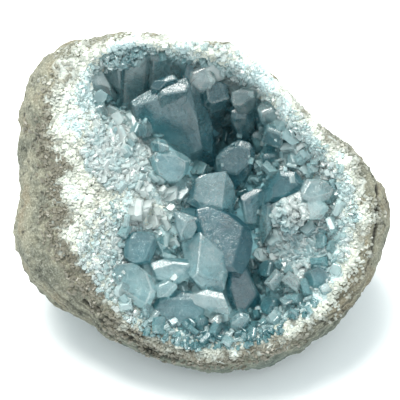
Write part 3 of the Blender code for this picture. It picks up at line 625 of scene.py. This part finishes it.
growth = {
    "broadSlope": 47, "narrowSlope": 58, "narrowStart": 0.3, "blunt": 0.06, "cornerTrim": 0.16,
    "edge": 0.4, "root": 3.0, "longest": 40.0, "headroom": 12.0, "reach": 60.0,
    "edgeHighlight": 0.3, "facetVaries": 0.12, "seed": 3,
    "shoulderShare": 0.65, "shoulderInset": (0.6, 2.4), "shoulderTilt": (22, 50), "trimOver": 5,
    "probeWidth": 0.35, "probeDown": 0.2, "probeShare": 0.7, "probeDepth": 3,
}


def bisect(place, normal):
    bpy.ops.mesh.select_all(action="SELECT")
    bpy.ops.mesh.bisect(plane_co=place, plane_no=normal, use_fill=True, clear_outer=True)


def crystalTurn(axis, turn):
    across = Vector((math.cos(math.radians(turn)), math.sin(math.radians(turn)), 0))
    third = axis.cross(across).normalized()
    first = third.cross(axis).normalized()
    return Matrix((first, third, axis)).transposed().to_4x4()


def addBlock(name, size, place):
    deselectAll()
    bpy.ops.mesh.primitive_cube_add(size=1, location=place)
    made = bpy.context.object
    made.name = name
    bpy.ops.object.mode_set(mode="EDIT")
    bpy.ops.mesh.select_mode(type="FACE")
    bpy.ops.transform.resize(value=size)
    return made


def finishBlock(edge):  # leaves the faces of the bevel selected
    if edge:
        bpy.ops.mesh.select_all(action="SELECT")
        bpy.ops.mesh.bevel(offset=edge * mm, segments=1, affect="EDGES", clamp_overlap=True)
    bpy.ops.object.mode_set(mode="OBJECT")
    bpy.ops.object.transform_apply(location=True, rotation=True, scale=True)


def addCrystal(name, width, thickness, length, ridge, edge, simple=False):
    # stands on the origin with its tip up, sizes in mm; a simple one has only its two broad slopes
    made = addBlock(name, (width * mm, thickness * mm, length * mm), (0, 0, -0.5 * length * mm))
    crest = Vector((0, ridge * thickness * mm, 0))
    broad, narrow = math.radians(growth["broadSlope"]), math.radians(growth["narrowSlope"])
    for side in (-1, 1):
        bisect(crest, (0, side * math.sin(broad), math.cos(broad)))
        if simple:
            continue
        start = side * width * growth["narrowStart"] * mm
        bisect((start, 0, 0), (side * math.sin(narrow), 0, math.cos(narrow)))
        if thickness > growth["trimOver"]:
            corner = Vector((side * width / 2, thickness / 2, 0)) * mm
            slant = Vector((side, 1, 0)).normalized()
            bisect(corner - slant * growth["cornerTrim"] * thickness * mm, slant)
    if not simple:
        bisect((0, 0, -growth["blunt"] * thickness * mm), (0, 0, 1))
    finishBlock(edge)
    return made


def addCut(name, outline, facets, axis, depth, rng):
    # stands in the frame of the face
    middle = sum((Vector(point) for point in outline), Vector((0, 0))) / len(outline)
    height = facets[0][0]
    tall = depth + growth["headroom"]
    reach = growth["reach"]
    centre = Vector((*middle, height - depth + tall / 2)) * mm
    made = addBlock(name, (reach * mm, reach * mm, tall * mm), centre)
    for start, end in zip(outline, outline[1:] + outline[:1]):
        along = Vector((end[0] - start[0], end[1] - start[1], 0))
        bisect(Vector((*start, height)) * mm, axis.cross(along).normalized())
    for level, across, up in facets:
        bisect(Vector((*middle, level)) * mm, Vector((-across, -up, 1)).normalized())
    top = Vector((-facets[0][1], -facets[0][2], 1)).normalized()
    for start, end in zip(outline, outline[1:] + outline[:1]):  # smaller facets along some of the rim
        if rng.random() > growth["shoulderShare"]:
            continue
        along = Vector((end[0] - start[0], end[1] - start[1], 0))
        away = top.cross(along).normalized()
        flat = (Vector(start) + Vector(end)) / 2
        edgeHeight = height + facets[0][1] * (flat.x - middle.x) + facets[0][2] * (flat.y - middle.y)
        tilt = math.radians(rng.uniform(*growth["shoulderTilt"]))
        place = Vector((*flat, edgeHeight)) - away * rng.uniform(*growth["shoulderInset"])
        bisect(place * mm, away * math.sin(tilt) + top * math.cos(tilt))
    finishBlock(growth["edge"])
    return made


def depthToWall(wall, places, axis):
    depths = [0.0]
    for place in places:
        spot, normal, _, _ = wall.ray_cast(place, -axis)
        if spot is not None and normal.dot(axis) > 0:
            depths.append((place - spot).dot(axis) / mm)
    return min(growth["longest"], max(depths) + growth["root"])


def addPlainCrystals(wall):
    made = []
    wide, down = growth["probeWidth"], growth["probeDown"]
    for name, (tip, lean, width, thickness, turn, ridge, tone) in plain.items():
        axis = Vector((*lean, 1.0)).normalized()
        turned = faceMatrix.to_3x3().to_4x4() @ crystalTurn(axis, turn)
        place = onFace(*tip)
        spots = [Vector((across * width, along * thickness, -down * thickness)) * mm
                 for across, along in ((0, 0), (wide, wide), (wide, -wide), (-wide, wide), (-wide, -wide))]
        corners = [place + turned.to_3x3() @ spot for spot in spots]
        length = max(thickness, depthToWall(wall, corners, turned.col[2].to_3d()))
        crystal = addCrystal(name, width, thickness, length, ridge, growth["edge"])
        crystal.data.transform(Matrix.Translation(place) @ turned)
        made.append((crystal, tone))
    return made


def addCutCrystals(wall, rng):
    made = []
    share, below = growth["probeShare"], growth["probeDepth"]
    for name, (tone, lean, facets, outline) in cut.items():
        axis = Vector((*lean, 1.0)).normalized()
        middle = sum((Vector(point) for point in outline), Vector((0, 0))) / len(outline)
        height = facets[0][0]
        corners = [onFace(*middle.lerp(Vector(point), share), height - below) for point in outline]
        depth = depthToWall(wall, corners, faceMatrix.to_3x3() @ axis)
        crystal = addCut(name, outline, facets, axis, depth * axis.z + below, rng)
        crystal.data.transform(faceMatrix)
        made.append((crystal, tone))
    return made


def makeLargeCrystals(wall):
    rng = random.Random(growth["seed"])
    crystals, skins = [], []
    for crystal, tone in addPlainCrystals(wall) + addCutCrystals(wall, rng):
        crystal.matrix_world = Matrix.Identity(4)
        # the bevel faces along each crystal's edges are painted paler, as highlight
        faceTones = [tone - rng.uniform(0, growth["edgeHighlight"]) if polygon.select else
                     tone + rng.uniform(-growth["facetVaries"], growth["facetVaries"])
                     for polygon in crystal.data.polygons]
        crystals.append(crystal)
        skins.append((surfaceOf(crystal), faceTones))
    first, others = crystals[0], crystals[1:]
    joined = bpy.data.collections.new("grownTogether")
    bpy.context.scene.collection.children.link(joined)
    for crystal in others:
        joined.objects.link(crystal)
    union = first.modifiers.new("grownTogether", "BOOLEAN")
    union.operation = "UNION"
    union.solver = "EXACT"
    union.operand_type = "COLLECTION"
    union.collection = joined
    applyAll(first)
    editAll()
    bpy.ops.mesh.dissolve_degenerate(threshold=tiny)
    bpy.ops.object.mode_set(mode="OBJECT")
    first.data.validate()
    for crystal in others:
        bpy.data.objects.remove(crystal, do_unlink=True)
    bpy.data.collections.remove(joined)
    first.name = "largeCrystals"
    tones = []  # each face takes the tone of the crystal face it came from
    for polygon in first.data.polygons:
        found = [(skin.find_nearest(polygon.center), faceTones) for skin, faceTones in skins]
        nearest, faceTones = min(found, key=lambda pair: pair[0][3])
        tones.append(faceTones[nearest[2]])
    first.data.attributes.new("tone", "FLOAT", "FACE").data.foreach_set("value", tones)
    dress(first, glassMaterial("celestiteBlocks", glass["blocks"]))
    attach(first, "root")
    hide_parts("crystal_crust")
    print("large crystals", len(first.data.polygons), "faces")
    return first


# Small crystals, stood on the rock from points that carry their turn, size, kind and tone.
# kinds: width and thickness as shares of the length, and the ridge off the middle.
# mouthPatches: from and to as shares of the mouth, size range in mm, count, tone.
# facePatches and glitterPatches: middle and half-widths on the face, size range in mm, count, tone.
# pale: middle and half-widths on the face, and how much paler and more grown over with grains.
druse = {
    "seed": 7, "sunk": 0.35, "outward": 0.7, "jitter": 0.6, "cutOff": 0.97,
    "covered": 1.0, "perched": 0.05, "perchedSize": (1.2, 2.6), "perchedTone": 0.2,
    "clusterWaves": ((4, 1.0),), "clusterEdge": (0.15, 0.4), "mostlySmall": 1.4, "bareBelow": 0.2,
    "innerShade": 0.28, "innerEdge": (-12.0, 12.0), "lowerDeeper": 0.3, "lowerEdge": (30.0, 42.0),
    "toneWaves": ((7, 0.35),), "toneVaries": 0.2, "modelLength": 10, "paleEdge": (1.0, 0.5),
    "pale": (((-17.0, -1.0), (11.0, 8.0), 0.95), ((-25.0, 15.0), (13.0, 13.0), 0.2),
             ((31.0, 2.0), (9.0, 12.0), 0.3), ((19.0, 39.0), (15.0, 8.0), 0.7)),
    "kinds": ((0.62, 0.50, 0.1), (0.50, 0.42, -0.2), (0.85, 0.45, 0.0), (0.58, 0.58, 0.3), (0.42, 0.34, 0.0),
              (0.95, 0.70, 0.2), (0.7, 0.3, 0.0)),
    "mouthPatches": {
        "floor": (0.0, 1.0, (3.0, 7.5), 800, 0.45),
        "floorFine": (0.0, 1.0, (1.6, 3.4), 1100, 0.34),
        "lip": (0.90, 1.12, (1.2, 3.2), 1000, 0.16),
        "lipFine": (0.92, 1.32, (0.9, 2.2), 1600, 0.08),
    },
    "facePatches": {
        "rightBank": ((29.0, -12.0), (11.0, 17.0), (1.8, 4.4), 620, 0.08),
        "rightBankUpper": ((33.0, 6.0), (9.0, 11.0), (1.4, 3.2), 260, -0.05),
        "leftLip": ((-24.0, 16.0), (13.0, 12.0), (1.5, 4.0), 850, 0.26),
        "lowerLeft": ((-30.0, -16.0), (9.0, 15.0), (1.2, 3.0), 360, 0.05),
        "lowerRim": ((4.0, -43.0), (26.0, 4.5), (1.2, 2.8), 300, 0.4),
    },
    "glitterPatches": {  # these also cover the large crystals
        "topLeft": ((-26.0, 48.0), (8.5, 6.0), (1.1, 3.0), 420, 0.38),
        "right": ((27.5, -5.0), (5.5, 6.0), (1.4, 3.4), 240, 0.28),
        "lowRight": ((31.0, -15.0), (8.0, 4.5), (1.4, 3.4), 280, 0.26),
    },
}


def smallModels(name, kinds, simple):
    holder = bpy.data.collections.new(name)
    bpy.context.scene.collection.children.link(holder)
    long = druse["modelLength"]
    for number, (width, thickness, ridge) in enumerate(kinds):
        made = addCrystal(f"{name}{number}", width * long, thickness * long, long, ridge, 0, simple)
        made.data.transform(Matrix.Scale(1 / (long * mm), 4))  # one unit long, with the tip on the origin
        made.matrix_world = Matrix.Identity(4)
        for collection in made.users_collection:
            collection.objects.unlink(made)
        holder.objects.link(made)
    return holder


def standingTree(holder):
    tree = bpy.data.node_groups.new("standOnPoints", "GeometryNodeTree")
    tree.interface.new_socket("Geometry", in_out="INPUT", socket_type="NodeSocketGeometry")
    tree.interface.new_socket("Geometry", in_out="OUTPUT", socket_type="NodeSocketGeometry")
    start, end = tree.nodes.new("NodeGroupInput"), tree.nodes.new("NodeGroupOutput")
    models = tree.nodes.new("GeometryNodeCollectionInfo")
    models.inputs["Collection"].default_value = holder
    models.inputs["Separate Children"].default_value = True
    models.inputs["Reset Children"].default_value = True
    stand = tree.nodes.new("GeometryNodeInstanceOnPoints")
    stand.inputs["Pick Instance"].default_value = True
    realize = tree.nodes.new("GeometryNodeRealizeInstances")
    for name, kind, socket in (("turn", "FLOAT_VECTOR", "Rotation"), ("grown", "FLOAT_VECTOR", "Scale"),
                               ("kind", "INT", "Instance Index")):
        reader = tree.nodes.new("GeometryNodeInputNamedAttribute")
        reader.data_type = kind
        reader.inputs["Name"].default_value = name
        tree.links.new(reader.outputs["Attribute"], stand.inputs[socket])
    tree.links.new(start.outputs[0], stand.inputs["Points"])
    tree.links.new(models.outputs[0], stand.inputs["Instance"])
    tree.links.new(stand.outputs[0], realize.inputs[0])
    tree.links.new(realize.outputs[0], end.inputs[0])
    return tree


def standCrystals(name, rows, tree):
    # rows: place, axis, spin, size, kind, tone
    mesh = bpy.data.meshes.new(name)
    mesh.from_pydata([row[0] for row in rows], [], [])
    made = bpy.data.objects.new(name, mesh)
    bpy.context.scene.collection.objects.link(made)
    turns, sizes = [], []
    for _, axis, spin, size, _, _ in rows:
        turn = axis.to_track_quat("Z", "Y") @ Matrix.Rotation(spin, 3, "Z").to_quaternion()
        turns.extend(turn.to_euler())
        sizes.extend((size, size, size))
    mesh.attributes.new("turn", "FLOAT_VECTOR", "POINT").data.foreach_set("vector", turns)
    mesh.attributes.new("grown", "FLOAT_VECTOR", "POINT").data.foreach_set("vector", sizes)
    mesh.attributes.new("kind", "INT", "POINT").data.foreach_set("value", [row[4] for row in rows])
    mesh.attributes.new("tone", "FLOAT", "POINT").data.foreach_set("value", [row[5] for row in rows])
    modifier = made.modifiers.new("standing", "NODES")
    modifier.node_group = tree
    applyAll(made)
    for extra in ("turn", "grown", "kind"):
        if extra in made.data.attributes:
            made.data.attributes.remove(made.data.attributes[extra])
    return made


def paleness(across, up):
    found = 0.0
    for (middleAcross, middleUp), (wide, tall), strength in druse["pale"]:
        away = math.hypot((across - middleAcross) / wide, (up - middleUp) / tall)
        found = max(found, strength * fade(away, *druse["paleEdge"]))
    return found


def druseSpots(rng):
    spots = []
    middleAcross, middleUp = nodule["mouthCentre"]
    for low, high, size, count, tone in druse["mouthPatches"].values():
        for _ in range(count):
            angle = rng.uniform(0, math.tau)
            reach = math.sqrt(rng.uniform(low * low, high * high)) * ring(nodule["mouth"], angle)
            across, up = middleAcross + reach * math.cos(angle), middleUp + reach * math.sin(angle)
            spots.append((across, up, size, tone, False))
    for group, perches in (("facePatches", False), ("glitterPatches", True)):
        for (middleAcross, middleUp), (wide, tall), size, count, tone in druse[group].values():
            for _ in range(count):
                angle, reach = rng.uniform(0, math.tau), math.sqrt(rng.random())
                across = middleAcross + wide * reach * math.cos(angle)
                up = middleUp + tall * reach * math.sin(angle)
                spots.append((across, up, size, tone, perches))
    return spots


def makeDruse(wall, blocks, tree):
    rng = random.Random(druse["seed"])
    rows = []
    for across, up, size, tone, perches in druseSpots(rng):
        pale = paleness(across, up)
        if rimShare(Vector((across, up, 0))) > druse["cutOff"] or rng.random() < pale - druse["bareBelow"]:
            continue
        place, normal = seat(wall, across, up)
        onBlock, blockNormal = seat(blocks, across, up)
        length = size[0] + (size[1] - size[0]) * rng.random() ** druse["mostlySmall"]
        if onBlock is not None and (onBlock - place).dot(outward) > druse["covered"] * mm:
            clustered = fade(wander(onBlock / mm, druse["clusterWaves"]), *druse["clusterEdge"])
            if not perches and rng.random() > druse["perched"] * clustered:
                continue
            place, normal = onBlock, blockNormal
            if not perches:
                length = rng.uniform(*druse["perchedSize"])
                tone = druse["perchedTone"]
        point = toFace(place)
        jitter = Vector([rng.uniform(-druse["jitter"], druse["jitter"]) for _ in range(3)])
        axis = (normal + outward * druse["outward"] + jitter).normalized()
        tip = place + axis * (1 - druse["sunk"]) * length * mm
        # crystals deeper in the hollow are painted darker, as shade
        tone += druse["innerShade"] * fade(-point.z, *druse["innerEdge"])
        tone += druse["lowerDeeper"] * fade(-up, *druse["lowerEdge"])
        tone += wander(place / mm, druse["toneWaves"]) - pale
        spin, kind = rng.uniform(0, math.tau), rng.randrange(len(druse["kinds"]))
        tone += rng.uniform(-druse["toneVaries"], druse["toneVaries"])
        rows.append((tip, axis, spin, length * mm, kind, tone))
    made = standCrystals("smallCrystals", rows, tree)
    dress(made, glassMaterial("celestiteDruse", glass["druse"]))
    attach(made, "root")
    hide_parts("crystal_crust")
    print("small crystals", len(rows), len(made.data.polygons), "faces")


# The white zone's grains: chisel ends at sugar size, with kinds as above.
sugar = {
    "seed": 21, "count": 12000, "size": (0.5, 1.5), "sunk": 0.5, "jitter": 0.9, "inner": 0.96, "outer": 1.0,
    "kinds": ((0.9, 0.7, 0.0), (0.7, 0.55, 0.1), (1.1, 0.6, -0.1)),
    "tones": ((0.0, (0.16, 0.15, 0.115)), (0.2, (0.26, 0.26, 0.215)), (0.42, (0.42, 0.445, 0.40)),
              (0.62, (0.60, 0.61, 0.53)), (0.8, (0.66, 0.685, 0.63)), (1.0, (0.50, 0.61, 0.61))),
    "roughness": 0.35, "specks": 900, "speckled": 0.3, "ragged": 0.14,
    "edgeWaves": ((9, 0.10), (3, 0.06)), "toneWaves": ((7, 0.60), (2, 0.40)), "toneVaries": 0.10,
    # the zone's tone, its fall to tan and grey outwards, the painted shade that darkens it towards the lower
    # left and brings the tan on sooner there, and how much paler it ends inside
    "tone": 0.74, "calm": 0.7, "calmEdge": (0.94, 1.04),
    "shadeSlope": 1.2, "shadeEdge": (0.0, 30.0), "lowerShade": 0.12,
    "tan": 0.34, "tanEdge": (0.93, 1.03), "lowerTanAndShade": 0.64, "lowerTanEdge": (0.89, 1.01),
    "grey": 0.25, "greyEdge": (0.98, 1.05), "paler": 0.25, "palerEdge": (1.35, 1.0),
}


def grainMaterial():
    made, tree, shader, _ = newMaterial("sugaryLimestone")
    coords = tree.nodes.new("ShaderNodeTexCoord").outputs["Object"]
    specks = centred(tree, addNoise(tree, coords, sugar["specks"], detail=3), sugar["speckled"])
    tone = addMath(tree, "ADD", addReader(tree, "tone"), specks)
    tree.links.new(addRamp(tree, tone, sugar["tones"]), shader.inputs["Base Color"])
    shader.inputs["Roughness"].default_value = sugar["roughness"]
    return made


def blend(first, second, share):
    return first + (second - first) * share


def grainTone(flat, edge, varied):
    # towards the lower left the grains are painted darker, as shade, and their fall to tan starts sooner
    lower = fade(-flat.x - sugar["shadeSlope"] * flat.y, *sugar["shadeEdge"])
    tanEdge = [blend(first, second, lower) for first, second in zip(sugar["tanEdge"], sugar["lowerTanEdge"])]
    tone = sugar["tone"] + varied * (1 - sugar["calm"] * fade(edge, *sugar["calmEdge"]))
    tone -= blend(sugar["tan"], sugar["lowerTanAndShade"], lower) * fade(edge, *tanEdge)
    tone -= sugar["grey"] * fade(edge, *sugar["greyEdge"]) + sugar["lowerShade"] * lower
    return tone + sugar["paler"] * fade(mouthShare(flat), *sugar["palerEdge"])


def makeGrains(wall, blocks, tree):
    rng = random.Random(sugar["seed"])
    rows = []
    while len(rows) < sugar["count"]:
        angle, share = rng.uniform(0, math.tau), math.sqrt(rng.random())
        reach = ring(nodule["outline"], angle)
        across, up = share * reach * math.cos(angle), share * reach * math.sin(angle)
        flat = Vector((across, up, 0))
        edge = rimShare(flat) + wander(flat, sugar["edgeWaves"])
        if edge > sugar["outer"] + sugar["ragged"] * rng.random() ** 2:
            continue
        if mouthShare(flat) < sugar["inner"] and rng.random() > paleness(across, up):
            continue
        place, normal = seat(wall, across, up)
        onBlock, _ = seat(blocks, across, up)
        if place is None or (onBlock is not None and (onBlock - place).dot(outward) > 0):
            continue
        jitter = Vector([rng.uniform(-sugar["jitter"], sugar["jitter"]) for _ in range(3)])
        axis = (normal + jitter).normalized()
        length = rng.uniform(*sugar["size"])
        tip = place + axis * (1 - sugar["sunk"]) * length * mm
        varied = wander(flat, sugar["toneWaves"]) + rng.uniform(-sugar["toneVaries"], sugar["toneVaries"])
        spin, kind = rng.uniform(0, math.tau), rng.randrange(len(sugar["kinds"]))
        rows.append((tip, axis, spin, length * mm, kind, grainTone(flat, edge, varied)))
    made = standCrystals("sugarGrains", rows, tree)
    dress(made, grainMaterial())
    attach(made, "root")
    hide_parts("matrix_rock")
    print("sugar grains", len(rows), len(made.data.polygons), "faces")


# Room, light and camera

room = {
    "floorColour": (0.97, 0.98, 0.98), "floorRough": 0.6, "floorSize": 6.0,
    "worldColour": (0.85, 0.96, 1.0), "worldStrength": 1.0,
    "keyPower": 13.0, "keyColour": (1.0, 0.985, 0.94), "keySize": 0.55, "keyPlace": (-0.16, 0.12, 0.9),
    "fillPower": 4.0, "fillColour": (1.0, 1.0, 1.0), "fillSize": 0.9, "fillPlace": (0.2, -0.9, 1.0),
    "distance": 1.6, "pixel": 0.3158, "aim": (-0.63, 0.63), "frameWidth": 400,
    "sensor": 36.0, "farthest": 20.0,
}


def addLight(name):
    bpy.ops.object.light_add(type="AREA", location=room[name + "Place"])
    lamp = bpy.context.object
    lamp.name = name
    lamp.data.energy = room[name + "Power"]
    lamp.data.color = room[name + "Colour"]
    lamp.data.size = room[name + "Size"]
    away = lamp.location - Vector(face["centre"])
    lamp.rotation_euler = away.to_track_quat("Z", "Y").to_euler()


def makeRoom():
    deselectAll()
    bpy.ops.mesh.primitive_plane_add(size=room["floorSize"], location=(0, 0, 0))
    floor = bpy.context.object
    floor.name = "floor"
    made, _, shader, _ = newMaterial("paleFloor")
    shader.inputs["Base Color"].default_value = (*room["floorColour"], 1.0)
    shader.inputs["Roughness"].default_value = room["floorRough"]
    dress(floor, made)
    world = bpy.data.worlds.new("studio")
    world.use_nodes = True
    background = world.node_tree.nodes["Background"]
    background.inputs["Color"].default_value = (*room["worldColour"], 1.0)
    background.inputs["Strength"].default_value = room["worldStrength"]
    bpy.context.scene.world = world
    addLight("key")
    addLight("fill")
    target = onFace(*room["aim"])
    bpy.ops.object.camera_add(location=target + outward * room["distance"])
    camera = bpy.context.object
    camera.rotation_euler = (math.radians(face["leanDegrees"]), 0, 0)
    camera.data.sensor_width = room["sensor"]
    camera.data.lens = room["sensor"] * room["distance"] / (room["frameWidth"] * room["pixel"] * mm)
    camera.data.clip_end = room["farthest"]
    bpy.context.scene.camera = camera
    bpy.context.scene.view_settings.view_transform = "Standard"
    print("room, light and camera")


wall = surfaceOf(frame["nodes"]["matrix_rock"])
limestoneNodule = makeRock()
largeCrystals = makeLargeCrystals(wall)
fineWall = surfaceOf(limestoneNodule)
blocks = surfaceOf(largeCrystals)
crystalModels = smallModels("crystalModels", druse["kinds"], False)
makeDruse(fineWall, blocks, standingTree(crystalModels))
grainModels = smallModels("grainModels", sugar["kinds"], True)
makeGrains(fineWall, blocks, standingTree(grainModels))
for models in (crystalModels, grainModels):
    for model in list(models.objects):
        bpy.data.objects.remove(model, do_unlink=True)
    bpy.data.collections.remove(models)
makeRoom()
